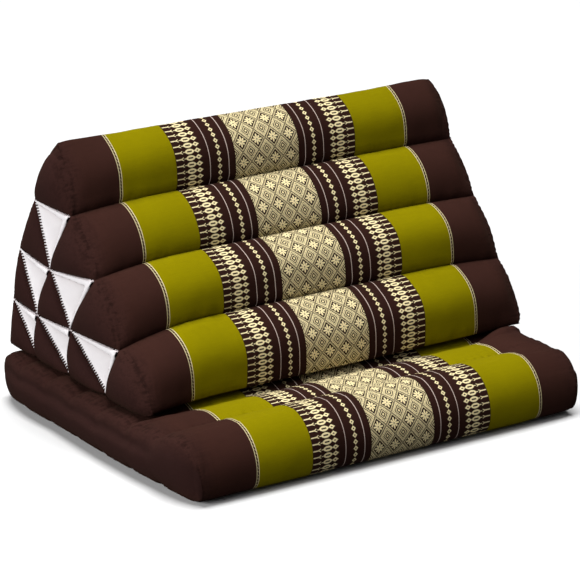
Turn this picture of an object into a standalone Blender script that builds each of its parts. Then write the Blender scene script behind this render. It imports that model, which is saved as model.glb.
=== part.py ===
"""Thai triangle cushion standing on its folded seat mat.

Metres. X is the width, -Y the front, +Z up, the floor is z = 0.
"""
import math
from collections import namedtuple

import bmesh
import bpy
from mathutils import Matrix, Vector

for old in list(bpy.data.objects):
    bpy.data.objects.remove(old, do_unlink=True)

# Triangle cushion
ROWS = 4              # rows of tubes, one more tube in each row
STEPS = 6             # mesh steps across one tube
SLICES = 26           # mesh steps along the width
END_X = {"left": 0.245, "right": 0.2505}  # planes of the end seams, either side of the middle
PUFF = {"front": 0.0150, "inner": 0.0120, "back": 0.0080}  # how far the tube ends puff out of that plane
RIGHT_DIP = 0.35      # the front seams dip less at the right end than at the left
BASE_Z = 0.0605       # flat underside, pressed on the mat
TAPER_FROM = 0.165    # the seams start to draw in here on the way to an end
TAPER_CROWN = 0.30    # share of a tube's crown that is lost at its end

# Where the seams cross the end plane, row by row from the ridge, col 0 at the back
Node = namedtuple("Node", "row col y z")
END_NODES = (
    Node(0, 0, 0.1000, 0.3165),
    Node(1, 0, 0.1408, 0.2448), Node(1, 1, 0.0652, 0.2448),
    Node(2, 0, 0.1765, 0.1798), Node(2, 1, 0.1114, 0.1724), Node(2, 2, 0.0181, 0.1856),
    Node(3, 0, 0.1931, 0.1166), Node(3, 1, 0.1417, 0.1120), Node(3, 2, 0.0707, 0.1153),
    Node(3, 3, -0.0287, 0.1201),
    Node(4, 0, 0.2030, 0.0600), Node(4, 1, 0.1441, 0.0640), Node(4, 2, 0.0743, 0.0640),
    Node(4, 3, -0.0018, 0.0640), Node(4, 4, -0.0872, 0.0645),
)

# The same seams half way along the width, only those on the outside
Seam = namedtuple("Seam", "row front_y front_z back_y back_z")
MIDDLE_SEAMS = (
    Seam(0, 0.0955, 0.3174, 0.0955, 0.3174),
    Seam(1, 0.0570, 0.2515, 0.1438, 0.2488),
    Seam(2, 0.0095, 0.1950, 0.1790, 0.1838),
    Seam(3, -0.0327, 0.1330, 0.1955, 0.1206),
    Seam(4, -0.0765, 0.0665, 0.2035, 0.0600),
)

# How far each outer tube rises over the line between its two seams, ridge tube first
Crown = namedtuple("Crown", "front back")
CROWNS = (Crown(0.0160, 0.0085), Crown(0.0122, 0.0070), Crown(0.0160, 0.0060), Crown(0.0220, 0.0040))
BASE_CROWN = 0.0080

# Seat mat
MAT_END_X = {"left": 0.2515, "right": 0.2395}  # the mat lies a little to the left
MAT_PUFF = {"left": 0.0205, "right": 0.0090}
MAT_TOP_FLAT = 0.0602  # where the triangle cushion presses it down
MAT_WALL_STEPS = 6
MAT_TAPER_Z = 0.0045   # the top seams drop by this at the ends
Groove = namedtuple("Groove", "y top bottom")
GROOVES = (
    Groove(-0.1310, 0.0610, 0.0050), Groove(-0.0780, 0.0555, 0.0045), Groove(-0.0205, 0.0545, 0.0040),
    Groove(0.0360, 0.0545, 0.0040), Groove(0.0925, 0.0545, 0.0040), Groove(0.1490, 0.0545, 0.0040),
)
MAT_CROWN = 0.0068
MAT_SOLE = 0.0085      # crown of the underside before the floor flattens it
NOSE = {"y": -0.1625, "z": 0.0240, "reach": 0.0423, "rise": 0.0480, "drop": 0.0240}
TAIL = {"y": 0.1730, "z": 0.0240, "reach": 0.0318, "rise": 0.0362, "drop": 0.0240}

# End panels
PANEL_GAP = 0.0003
PANEL_THICK = 0.0012
PANEL_INSET = 0.0018
HEM_WIDTH = 0.0050
HEM_RISE = 0.0006
HEM_SLOPE = 0.0008

COLOURS = {
    "cover": (0.038, 0.014, 0.012, 1.0),
    "mat_cover": (0.038, 0.014, 0.012, 1.0),
    "panel": (0.83, 0.79, 0.82, 1.0),
}


def arch(t, power=0.8):
    """Height of a stuffed tube over its chord, 0 at both seams and 1 half way."""
    return max(0.0, math.sin(math.pi * t)) ** power


def end_share(x, end_x):
    """0 over the middle of the width, 1 at an end."""
    return max(0.0, (abs(x) - TAPER_FROM) / (end_x - TAPER_FROM)) ** 2


def spread(z, end_x):
    """Even slices to slices that lie closer towards the ends."""
    return end_x * (1.32 * z - 0.32 * z ** 3)


def new_object(name, bm, colour, collection):
    bmesh.ops.recalc_face_normals(bm, faces=bm.faces)
    if bm.calc_volume(signed=True) < 0.0:
        bmesh.ops.reverse_faces(bm, faces=bm.faces)
    mesh = bpy.data.meshes.new(name)
    bm.to_mesh(mesh)
    bm.free()
    obj = bpy.data.objects.new(name, mesh)
    collection.objects.link(obj)
    material = bpy.data.materials.new(name)
    material.use_nodes = True
    shader = material.node_tree.nodes["Principled BSDF"]
    shader.inputs["Base Color"].default_value = COLOURS[colour]
    shader.inputs["Roughness"].default_value = 0.85
    mesh.materials.append(material)
    for polygon in mesh.polygons:
        polygon.use_smooth = True
    return obj


def end_nodes(end):
    """Seam crossings of one end face, with the front ones nearer to their middle height at the right."""
    nodes = {(n.row, n.col): Vector((n.y, n.z)) for n in END_NODES}
    if end == "right":
        for seam in MIDDLE_SEAMS:
            corner = (seam.row, seam.row)
            nodes[corner] = Vector((seam.front_y, seam.front_z)).lerp(nodes[corner], RIGHT_DIP)
    return nodes


NODES = {end: end_nodes(end) for end in ("left", "right")}


def side_node(row, side, end, share):
    """Seam on the front or back face, between its middle and its end position."""
    seam = MIDDLE_SEAMS[row]
    if side == "front":
        return Vector((seam.front_y, seam.front_z)).lerp(NODES[end][(row, row)], share)
    return Vector((seam.back_y, seam.back_z)).lerp(NODES[end][(row, 0)], share)


def face_point(side, t, end, share):
    """Point of the outline: t runs 0 to ROWS down the front or back, or along the base from back to front."""
    k = min(int(t), ROWS - 1)
    f = t - k
    lost = 1.0 - TAPER_CROWN * share
    if side == "base":
        a = side_node(ROWS, "back", end, share) if k == 0 else NODES[end][(ROWS, k)]
        b = side_node(ROWS, "front", end, share) if k == ROWS - 1 else NODES[end][(ROWS, k + 1)]
        p = a.lerp(b, f)
        p.y = max(p.y - BASE_CROWN * arch(f), min(BASE_Z, p.y))
        return p
    a, b = side_node(k, side, end, share), side_node(k + 1, side, end, share)
    crown = getattr(CROWNS[k], side) * lost
    along = (b - a).normalized()
    out = Vector((along.y, -along.x)) if side == "front" else Vector((-along.y, along.x))
    return a.lerp(b, f) + out * crown * arch(f)


def cap_point(row, col, end):
    """Point of an end face from its place in the triangular grid: (y, z) and the puff along X."""
    nodes = NODES[end]
    k = max(0, min(ROWS - 1, math.ceil(row) - 1))
    m = max(0, min(k, int(math.floor(col + 1e-6))))
    f, g = row - k, col - m
    if g <= f + 1e-6:
        corners = ((k, m), (k + 1, m), (k + 1, m + 1))
        weights = (1.0 - f, f - g, g)
        place = "front" if m == k else "back" if m == 0 else "inner"
        puff = PUFF[place] * max(0.0, 27.0 * weights[0] * weights[1] * weights[2]) ** 0.55
    else:
        corners = ((k, m), (k, m + 1), (k + 1, m + 1))
        weights = (1.0 - g, g - f, f)
        puff = 0.0
    p = Vector((0.0, 0.0))
    for corner, weight in zip(corners, weights):
        p += nodes[corner] * weight
    if g <= f + 1e-6:
        top, back, front = weights
        for side, other, t_weight, near in (
                ("back", front, back, m == 0), ("front", back, front, m == k), ("base", top, front, k == ROWS - 1)):
            if not near or other > 0.999:
                continue
            t = t_weight / (1.0 - other)
            start = m if side == "base" else k
            near_end = {"base": (ROWS, m), "back": (k, 0), "front": (k, k)}[side]
            far_end = {"base": (ROWS, m + 1), "back": (k + 1, 0), "front": (k + 1, k + 1)}[side]
            straight = nodes[near_end].lerp(nodes[far_end], t)
            p += (face_point(side, start + t, end, 1.0) - straight) * (1.0 - other) ** 1.6
    return p, puff


def triangle_cushion(collection):
    """Three-sided prism, cut into a triangular grid at the ends and into slices along the width."""
    count = ROWS * STEPS
    bm = bmesh.new()
    bmesh.ops.create_cone(bm, cap_ends=True, segments=3, radius1=1.0, radius2=1.0, depth=2.0)
    ring = [e for e in bm.edges if abs(e.verts[0].co.z - e.verts[1].co.z) < 0.1]
    bmesh.ops.subdivide_edges(bm, edges=ring, cuts=count - 1, use_grid_fill=True)
    along = [e for e in bm.edges if abs(e.verts[0].co.z - e.verts[1].co.z) > 0.1]
    bmesh.ops.subdivide_edges(bm, edges=along, cuts=SLICES - 1, use_grid_fill=True)
    first = max(bm.verts, key=lambda v: v.co.xy.length)
    start = math.atan2(first.co.y, first.co.x)
    corners = [Vector((math.cos(start + turn * 2 * math.pi / 3), math.sin(start + turn * 2 * math.pi / 3)))
               for turn in range(3)]
    for vert in bm.verts:
        weights = [(1.0 + 2.0 * vert.co.xy.dot(c)) / 3.0 for c in corners]
        top, back, front = (round(w * count) / STEPS for w in weights)
        z = vert.co.z
        end = "left" if z < 0.0 else "right"
        x = spread(z, END_X[end])
        if abs(z) > 0.999:
            p, puff = cap_point(back + front, front, end)
            vert.co = Vector((math.copysign(END_X[end] + puff, z), p.x, p.y))
            continue
        share = end_share(x, END_X[end])
        if front < 1e-6:
            p = face_point("back", back, end, share)
        elif back < 1e-6:
            p = face_point("front", front, end, share)
        else:
            p = face_point("base", front, end, share)
        vert.co = Vector((x, p.x, p.y))
    return new_object("triangle_cushion", bm, "cover", collection)


def tip_point(shape, side, turn):
    """Rounded front or back end of the mat; turn is 1 at the crest, 0 at the wall, -1 on the floor."""
    angle = turn * math.pi / 2
    height = shape["rise"] * math.sin(angle) if turn >= 0 else \
        -shape["drop"] * math.sin(-angle) ** 0.75
    reach = shape["reach"] * max(0.0, math.cos(angle)) ** (1.0 if turn >= 0 else 0.6)
    return Vector((shape["y"] + side * reach, shape["z"] + height))


def mat_rows():
    """Mesh columns of the mat from front to back as (top point, bottom point)."""
    rows = []
    crest, floor = tip_point(NOSE, -1, 1.0), 0.0
    for i in range(4):
        turn = 0.42 + 0.58 * i / 4
        rows.append((tip_point(NOSE, -1, turn), tip_point(NOSE, -1, -0.50 - 0.50 * i / 4)))
    first = GROOVES[0]
    for i in range(4):
        f = i / 4
        y = crest.x + (first.y - crest.x) * f
        rows.append((Vector((y, first.top + (crest.y - first.top) * math.cos(f * math.pi / 2) ** 0.9)),
                     Vector((y, floor + first.bottom * max(0.0, (f - 0.5) * 2) ** 2))))
    for a, b in zip(GROOVES, GROOVES[1:]):
        for i in range(STEPS):
            f = i / STEPS
            y = a.y + (b.y - a.y) * f
            top = a.top + (b.top - a.top) * f + MAT_CROWN * arch(f)
            if b.y > -0.07:
                top = min(top, MAT_TOP_FLAT)
            bottom = max(0.0, a.bottom + (b.bottom - a.bottom) * f - MAT_SOLE * arch(f))
            rows.append((Vector((y, top)), Vector((y, bottom))))
    last = GROOVES[-1]
    crest = tip_point(TAIL, 1, 1.0)
    for i in range(3):
        f = i / 3
        y = last.y + (crest.x - last.y) * f
        rows.append((Vector((y, last.top + (crest.y - last.top) * math.sin(f * math.pi / 2) ** 0.8)),
                     Vector((y, last.bottom * (1.0 - f) ** 2))))
    for i in range(4):
        turn = 1.0 - 0.62 * i / 3
        rows.append((tip_point(TAIL, 1, turn), tip_point(TAIL, 1, -1.0 + 0.50 * i / 3)))
    return rows


def mat_wall(side, f):
    """Point of the front or back wall between the last top and bottom points, f from bottom to top."""
    shape, top = (NOSE, 0.42) if side < 0 else (TAIL, 0.38)
    return tip_point(shape, side, -0.50 + (top + 0.50) * f)


def seat_mat(collection):
    """Box cut into columns, slices and layers, then drawn into sewn tubes with puffed ends."""
    rows = mat_rows()
    columns = len(rows) - 1
    bm = bmesh.new()
    bmesh.ops.create_cube(bm, size=2.0)
    for axis, cuts in ((0, SLICES - 1), (1, columns - 1), (2, MAT_WALL_STEPS - 1)):
        edges = [e for e in bm.edges if abs(e.verts[0].co[axis] - e.verts[1].co[axis]) > 0.1]
        bmesh.ops.subdivide_edges(bm, edges=edges, cuts=cuts, use_grid_fill=True)
    thickest = max(top.y for top, bottom in rows)
    for vert in bm.verts:
        z, column = vert.co.x, round((vert.co.y + 1.0) / 2.0 * columns)
        f = (vert.co.z + 1.0) / 2.0
        end = "left" if z < 0.0 else "right"
        x = spread(z, MAT_END_X[end])
        share = end_share(x, MAT_END_X[end])
        if column == 0 or column == columns:
            p = mat_wall(-1 if column == 0 else 1, f)
        else:
            top, bottom = rows[column]
            p = bottom.lerp(top, f)
        # ends: the top seams drop a little, tips draw in, the end band puffs out
        lift = min(1.0, p.y / thickest)
        drop = MAT_TAPER_Z * share * lift if p.x < -0.09 else 0.0
        p = Vector((p.x * (1.0 - 0.012 * share), p.y - drop))
        if abs(z) > 0.999:
            waist = math.sin(math.pi * min(1.0, max(0.0, f))) ** 0.5
            length = max(0.0, 1.0 - ((column / columns - 0.5) * 2.0) ** 6)
            tubes = 1.0 - 0.16 * (1.0 - abs(math.cos(math.pi * (p.x + 0.0205) / 0.2)))
            x = math.copysign(MAT_END_X[end] + MAT_PUFF[end] * waist * length * tubes, z)
        vert.co = Vector((x, p.x, p.y))
    return new_object("seat_mat", bm, "mat_cover", collection)


def inset_corners(corners, inset):
    """Corners of a triangle moved in so that each side moves in by the same distance."""
    a, b, c = corners
    sides = ((b - c).length, (c - a).length, (a - b).length)
    around = sum(sides)
    centre = (a * sides[0] + b * sides[1] + c * sides[2]) / around
    area = abs((b - a).cross(c - a)) / 2.0
    radius = 2.0 * area / around
    return [centre + (p - centre) * (1.0 - inset / radius) for p in corners]


def end_panel(name, corners, end, collection):
    """White cloth triangle with a folded hem all round."""
    bm = bmesh.new()
    side = -1 if end == "left" else 1
    inner_x = END_X[end] + PANEL_GAP
    rim = [Vector((side * inner_x, p.x, p.y)) for p in inset_corners(corners, PANEL_INSET)]
    face = bm.faces.new([bm.verts.new(p) for p in rim])
    copy = bmesh.ops.extrude_face_region(bm, geom=[face], use_keep_orig=True)
    moved = [v for v in copy["geom"] if isinstance(v, bmesh.types.BMVert)]
    bmesh.ops.translate(bm, verts=moved, vec=(side * (PANEL_THICK + HEM_RISE), 0.0, 0.0))
    upper = [f for f in copy["geom"] if isinstance(f, bmesh.types.BMFace)][0]
    bmesh.ops.inset_region(bm, faces=[upper], thickness=HEM_WIDTH, use_even_offset=True)
    bmesh.ops.inset_region(bm, faces=[upper], thickness=HEM_SLOPE, use_even_offset=True)
    bmesh.ops.translate(bm, verts=list(upper.verts), vec=(-side * HEM_RISE, 0.0, 0.0))
    return new_object(name, bm, "panel", collection)


collection = bpy.data.collections.new("thai_triangle_cushion")
bpy.context.scene.collection.children.link(collection)
triangle_cushion(collection)
seat_mat(collection)
for end, nodes in NODES.items():
    number = 0
    for row in range(1, ROWS):
        for col in range(row):
            number += 1
            triangle = (nodes[(row, col)], nodes[(row, col + 1)], nodes[(row + 1, col + 1)])
            end_panel(f"end_panel_{end}_{number}", triangle, end, collection)

# Centre the part over its origin
corners = [v.co for obj in collection.objects for v in obj.data.vertices]
middle = [(min(c[axis] for c in corners) + max(c[axis] for c in corners)) / 2.0 for axis in (0, 1)]
for obj in collection.objects:
    obj.data.transform(Matrix.Translation((-middle[0], -middle[1], 0.0)))
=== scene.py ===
"""Looks of a triangle cushion of stuffed cloth tubes that stands on its folded seat mat.

Metres. X is the width, -Y the front, +Z up, the floor is z = 0.
"""
import math
from collections import namedtuple

import bmesh
import bpy
from mathutils import Matrix, Vector, noise
from mathutils.bvhtree import BVHTree


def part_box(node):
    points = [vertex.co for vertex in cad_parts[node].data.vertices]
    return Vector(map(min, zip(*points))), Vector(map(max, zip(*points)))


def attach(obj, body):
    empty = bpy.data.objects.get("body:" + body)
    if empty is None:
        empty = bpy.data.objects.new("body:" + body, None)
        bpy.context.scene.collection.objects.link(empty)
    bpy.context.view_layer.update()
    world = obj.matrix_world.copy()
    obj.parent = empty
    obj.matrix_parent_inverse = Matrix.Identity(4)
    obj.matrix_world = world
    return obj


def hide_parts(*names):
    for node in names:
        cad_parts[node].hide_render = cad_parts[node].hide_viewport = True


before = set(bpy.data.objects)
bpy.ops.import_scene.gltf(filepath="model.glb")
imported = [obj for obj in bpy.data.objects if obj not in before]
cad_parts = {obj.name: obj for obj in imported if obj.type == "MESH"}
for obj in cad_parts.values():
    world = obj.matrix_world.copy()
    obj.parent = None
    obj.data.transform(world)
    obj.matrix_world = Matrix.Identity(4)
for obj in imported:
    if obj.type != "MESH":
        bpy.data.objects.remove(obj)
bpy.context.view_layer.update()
bpy.ops.object.select_all(action="DESELECT")

# Triangle cushion
ROWS = 4              # rows of tubes, one more tube in each row
STEPS = 12            # mesh steps across one tube
SLICES = 76           # mesh steps along the width
END_X = {"left": 0.2455, "right": 0.2530}  # planes of the end seams, either side of the pattern's middle
PUFF = {"front": 0.0150, "inner": 0.0120, "back": 0.0080}  # how far the tube ends puff out of those planes
RIGHT_PUFF = 0.45     # share of that at the right end
RIDGE_SLOPE = 0.0095  # the ridge sinks this much per metre towards the right
RIGHT_DIP = 0.35      # the front seams dip less at the right end than at the left
HOLLOW = 0.0135       # how deep the cover lies under the white end panels
BASE_Z = 0.0605       # flat underside, pressed on the mat
TAPER_FROM = 0.135    # the seams start to draw in here on the way to an end
TAPER_CROWN = 0.30    # share of a tube's crown that is lost at its end
ROUND = 0.024         # the rims of the tube ends are rounded over this distance
ROUND_IN = 0.0055     # and drawn in by this much half way along a tube
SLACK = 0.98          # crowns before the filling presses them out
GROOVE = 0.0032       # how far the sewing pulls a seam in
GROOVE_REACH = 0.0030

# Where the seams cross the end plane, row by row from the ridge, col 0 at the back
Node = namedtuple("Node", "row col y z")
END_NODES = (
    Node(0, 0, 0.1000, 0.3165),
    Node(1, 0, 0.1408, 0.2448), Node(1, 1, 0.0652, 0.2448),
    Node(2, 0, 0.1765, 0.1798), Node(2, 1, 0.1114, 0.1724), Node(2, 2, 0.0181, 0.1856),
    Node(3, 0, 0.1931, 0.1166), Node(3, 1, 0.1417, 0.1120), Node(3, 2, 0.0707, 0.1153),
    Node(3, 3, -0.0287, 0.1201),
    Node(4, 0, 0.2030, 0.0600), Node(4, 1, 0.1441, 0.0640), Node(4, 2, 0.0743, 0.0640),
    Node(4, 3, -0.0018, 0.0640), Node(4, 4, -0.0872, 0.0645),
)

# The same seams half way along the width, only those on the outside
Seam = namedtuple("Seam", "row front_y front_z back_y back_z")
MIDDLE_SEAMS = (
    Seam(0, 0.0955, 0.3174, 0.0955, 0.3174),
    Seam(1, 0.0590, 0.2535, 0.1438, 0.2488),
    Seam(2, 0.0128, 0.1988, 0.1790, 0.1838),
    Seam(3, -0.0330, 0.1388, 0.1955, 0.1206),
    Seam(4, -0.0765, 0.0665, 0.2035, 0.0600),
)

# How far each outer tube rises over the line between its two seams, ridge tube first
Crown = namedtuple("Crown", "front back")
CROWNS = (Crown(0.0180, 0.0070), Crown(0.0155, 0.0050), Crown(0.0192, 0.0045), Crown(0.0240, 0.0030))
BASE_CROWN = 0.0080
TAKEN_UP = (0.0073, 0.0055, 0.0018, -0.0033)  # where the woven pattern lies on each tube

# Seat mat
MAT_END_X = {"left": 0.2540, "right": 0.2360}
MAT_PUFF = {"left": 0.0205, "right": 0.0090}
MAT_TOP_FLAT = 0.0602  # where the triangle cushion presses it down
MAT_WALL_STEPS = 12
MAT_TAPER_Z = 0.0045   # the top seams drop by this at the ends
MAT_STEPS = 12
MAT_SLICES = 68
Groove = namedtuple("Groove", "y top bottom")
GROOVES = (
    Groove(-0.1310, 0.0610, 0.0050), Groove(-0.0780, 0.0555, 0.0045), Groove(-0.0205, 0.0545, 0.0040),
    Groove(0.0360, 0.0545, 0.0040), Groove(0.0925, 0.0545, 0.0040), Groove(0.1490, 0.0545, 0.0040),
)
MAT_CREASE = 0.0035     # soft fold along the ends, a little under their upper edge
MAT_LEAN = 0.0030       # the ends lean out at the top and in at the floor
MAT_CROWN = 0.0068
MAT_SOLE = 0.0085
NOSE = {"y": -0.1625, "z": 0.0240, "reach": 0.0423, "rise": 0.0480, "drop": 0.0240}
TAIL = {"y": 0.1730, "z": 0.0240, "reach": 0.0318, "rise": 0.0362, "drop": 0.0240}

# End panels
PANEL_STEPS = 56
PANEL_THICK = 0.0009
PANEL_INSET = 0.0006
HEM_TOP = 0.0088       # width of the folded hem along the top edge
HEM_FRONT = 0.0074
HEM_RISE = 0.0024
PANEL_DISH = 0.0034
PANEL_CORNER = 0.0095  # the panel sinks deeper behind its front top corner

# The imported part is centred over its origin, the pattern is not
SHIFT = 0.00325

# Woven pattern, in millimetres from the middle of the width
CELL = (20.6, 24.0)         # one diamond of the lattice, across and along
LATTICE_HALF = 41.2
THIN_LINES = (50.1, 74.6)
CHAIN_MIDDLE = 62.0
SPEARS = {"tip": 87.9, "bead": 97.9, "point": 110.0}
FIGURE_PITCH = 7.3          # from one diamond or spear to the next along the cloth
GREEN_BAND = (117.4, 186.0)
ROPE_MIDDLE = 186.8
THREAD_STEP = 0.4           # figures step from thread to thread
THREAD = {"cover": 0.55, "panel": 0.50}

# Stitches along the panels
STITCH_PITCH = 0.0031
STITCH_THICK = 0.0018
LOOSE_PITCH = 0.0011
LOOSE_THICK = 0.0005


def gathered(f):
    """Even mesh steps across a tube to steps that lie closer at its seams."""
    return f - 0.50 * math.sin(2.0 * math.pi * f) / (2.0 * math.pi)


def arch(t, power=0.8):
    """Height of a stuffed tube over its chord, 0 at both seams and 1 half way."""
    return max(0.0, math.sin(math.pi * t)) ** power


def end_share(x, end_x):
    """0 over the middle of the width, 1 at an end."""
    return max(0.0, (abs(x) - TAPER_FROM) / (end_x - TAPER_FROM)) ** 2


def spread(z, end_x):
    """Even slices to slices that lie closer towards the ends."""
    return end_x * (1.32 * z - 0.32 * z ** 3)


def end_nodes(end):
    """Seam crossings of one end face, with the front ones nearer to their middle height at the right."""
    nodes = {(n.row, n.col): Vector((n.y, n.z)) for n in END_NODES}
    if end == "right":
        for seam in MIDDLE_SEAMS:
            corner = (seam.row, seam.row)
            nodes[corner] = Vector((seam.front_y, seam.front_z)).lerp(nodes[corner], RIGHT_DIP)
        nodes[(ROWS, ROWS)] += Vector((0.0030, 0.0025))
    return nodes


NODES = {end: end_nodes(end) for end in ("left", "right")}


def side_node(row, side, end, share):
    """Seam on the front or back face, between its middle and its end position."""
    seam = MIDDLE_SEAMS[row]
    if side == "front":
        return Vector((seam.front_y, seam.front_z)).lerp(NODES[end][(row, row)], share)
    return Vector((seam.back_y, seam.back_z)).lerp(NODES[end][(row, 0)], share)


def rounding(from_end):
    """1 at an end seam, 0 from ROUND on, for the rounded rims."""
    return max(0.0, 1.0 - from_end / ROUND) ** 2


def drawn_in(side, row, f):
    """How much of the rounding a point of the rim takes, by its place f across its tube: none at a seam."""
    corner = 0.0
    if row == 0:
        corner = (1.0 - f) ** 4
    elif row == ROWS - 1 and side == "front":
        corner = 0.8 * f ** 4
    return max(arch(f) * (1.0 if side == "front" else 0.4), corner)


def face_point(side, t, end, share, fullness=1.0, near=0.0):
    """Point of the outline: t runs 0 to ROWS down the front or back, or along the base from back to front."""
    k = min(int(t + 1e-5), ROWS - 1)
    f = gathered(max(0.0, t - k))
    lost = 1.0 - TAPER_CROWN * share * (1.4 if end == "right" and k == ROWS - 1 else 1.0)
    if side == "base":
        a = side_node(ROWS, "back", end, share) if k == 0 else NODES[end][(ROWS, k)]
        b = side_node(ROWS, "front", end, share) if k == ROWS - 1 else NODES[end][(ROWS, k + 1)]
        p = a.lerp(b, f)
        p.y = max(p.y - BASE_CROWN * arch(f), min(BASE_Z, p.y))
        return p
    a, b = side_node(k, side, end, share), side_node(k + 1, side, end, share)
    crown = getattr(CROWNS[k], side) * lost * fullness
    along = b - a
    wide = along.length
    along.normalize()
    out = Vector((along.y, -along.x)) if side == "front" else Vector((-along.y, along.x))
    pull = 0.0
    if k > 0:
        pull += math.exp(-f * wide / GROOVE_REACH)
    if k < ROWS - 1:
        pull += math.exp(-(1.0 - f) * wide / GROOVE_REACH)
    inward = ROUND_IN * near * arch(f) * (1.0 if side == "front" else 0.35)
    p = a.lerp(b, f) + out * (crown * arch(f) - GROOVE * pull * (1.0 - 0.6 * share) - inward)
    if k == 0:
        p.y -= 0.5 * ROUND_IN * near * (1.0 - f) ** 4
    return p


def cap_cell(row, col):
    """Small triangle of the end face that holds a grid point: corners, weights, and if it is a tube end."""
    k = max(0, min(ROWS - 1, math.ceil(row - 1e-6) - 1))
    m = max(0, min(k, int(math.floor(col + 1e-6))))
    f, g = row - k, col - m
    if g <= f + 1e-6:
        return k, m, ((k, m), (k + 1, m), (k + 1, m + 1)), (1.0 - f, f - g, g), True
    return k, m, ((k, m), (k, m + 1), (k + 1, m + 1)), (1.0 - g, g - f, f), False


def cap_point(row, col, end):
    """Point of an end face from its place in the triangular grid: (y, z) and the puff along X."""
    nodes = NODES[end]
    k, m, corners, even, tube = cap_cell(row, col)
    weights = [gathered(max(0.0, weight)) for weight in even]
    weights = [weight / sum(weights) for weight in weights]
    p = Vector((0.0, 0.0))
    for corner, weight in zip(corners, weights):
        p += nodes[corner] * weight
    if not tube:
        edge = min(1.0, 9.0 * max(0.0, min(weights)))
        return p, -HOLLOW * edge ** 0.7
    place = "front" if m == k else "back" if m == 0 else "inner"
    puff = PUFF[place] * max(0.0, 27.0 * weights[0] * weights[1] * weights[2]) ** 0.5
    for side, opposite, at, near in (
            ("back", 2, 1, m == 0), ("front", 1, 2, m == k), ("base", 0, 2, k == ROWS - 1)):
        other = weights[opposite]
        if not near or even[opposite] > 0.999:
            continue
        t = even[at] / (1.0 - even[opposite])
        start = m if side == "base" else k
        near_end = {"base": (ROWS, m), "back": (k, 0), "front": (k, k)}[side]
        far_end = {"base": (ROWS, m + 1), "back": (k + 1, 0), "front": (k + 1, k + 1)}[side]
        straight = nodes[near_end].lerp(nodes[far_end], gathered(t))
        p += (face_point(side, start + t, end, 1.0, 1.0, 1.0) - straight) * (1.0 - other) ** 1.6
        if side != "base":
            puff -= ROUND_IN * drawn_in(side, k, gathered(t)) * (1.0 - other) ** 6
    return p, puff


def arc_lengths(points):
    """Running length along a list of points."""
    lengths = [0.0]
    for a, b in zip(points, points[1:]):
        lengths.append(lengths[-1] + (b - a).length)
    return lengths


def cut_edges(obj, cuts, chosen):
    """Subdivides the edges that chosen(edge) picks, in edit mode."""
    bpy.context.view_layer.objects.active = obj
    bpy.ops.object.mode_set(mode="EDIT")
    bpy.context.tool_settings.mesh_select_mode = (False, True, False)
    bpy.ops.mesh.select_all(action="DESELECT")
    mesh = bmesh.from_edit_mesh(obj.data)
    for edge in mesh.edges:
        if chosen(edge):
            edge.select_set(True)
    bmesh.update_edit_mesh(obj.data)
    bpy.ops.mesh.subdivide(number_cuts=cuts)
    bpy.ops.object.mode_set(mode="OBJECT")


def runs_along(axis):
    """Picks edges that run along an axis of a primitive."""
    return lambda edge: abs(edge.verts[0].co[axis] - edge.verts[1].co[axis]) > 1e-4


def in_a_cap(edge):
    """Picks the edges of a prism that lie in its two end faces."""
    return abs(edge.verts[0].co.z - edge.verts[1].co.z) < 1e-4


def soft_noise(x, y, scale, seed):
    """Smooth noise from -1 to 1 with features of about scale metres."""
    return noise.noise(Vector((x / scale, y / scale, seed)))


def set_float(mesh, name, values):
    """Keeps a number on each point of the mesh."""
    attribute = mesh.attributes.new(name, "FLOAT", "POINT")
    attribute.data.foreach_set("value", values)


def new_piece(obj, name, material):
    """Names and colours a finished mesh and says which body and slot it belongs to."""
    obj.name = name
    obj.data.name = name
    obj.data.materials.clear()
    obj.data.materials.append(material)
    for polygon in obj.data.polygons:
        polygon.use_smooth = True
    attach(obj, "root")
    return obj


Spot = namedtuple("Spot", "co held seam_gap end_gap")


def triangle_spot(top, back, front, z, fullness=1.0):
    """Place of one point of the cover; top, back and front add up to ROWS, z is -1 or 1 on an end face."""
    end = "left" if z < 0.0 else "right"
    if abs(z) > 0.9999:
        k, m, corners, even, tube = cap_cell(back + front, front)
        outer = (k == ROWS - 1, m == k, m == 0)
        rim = min([0.05] + [0.06 * weight for weight, near in zip(even, outer) if near and tube])
        p, puff = cap_point(back + front, front, end)
        held = not tube or min(even) < 1e-4
        if end == "right" and puff > 0.0:
            puff *= RIGHT_PUFF
        p.y -= RIDGE_SLOPE * math.copysign(END_X[end], z) * max(0.0, top - ROWS + 1)
        gap = max(0.0, min(even)) * 0.06
        return Spot(Vector((math.copysign(END_X[end] + puff, z), p.x, p.y)), held, gap, -rim)
    x = spread(z, END_X[end])
    from_end = END_X[end] - abs(x)
    share = end_share(x, END_X[end])
    side, t = ("back", back) if front < 1e-5 else ("front", front) if back < 1e-5 else ("base", front)
    near = rounding(from_end)
    p = face_point(side, t, end, share, fullness, near)
    p.y -= RIDGE_SLOPE * x * max(0.0, top - ROWS + 1)
    if side != "base":
        row = min(int(t + 1e-5), ROWS - 1)
        x -= math.copysign(ROUND_IN * near * drawn_in(side, row, gathered(max(0.0, t - row))), x)
    f = t - math.floor(t + 1e-5)
    seam = min(abs(f), abs(1.0 - f))
    if t < 0.5 and side != "base":
        seam = 0.5
    gap = gathered(seam) * 0.08
    return Spot(Vector((x, p.x, p.y)), seam < 1e-4 or side == "base", gap, from_end)


def on_cloth(x):
    """Where the woven bands lie on the tubes: a little off the middle."""
    return 0.998 * x - 0.0016


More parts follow.
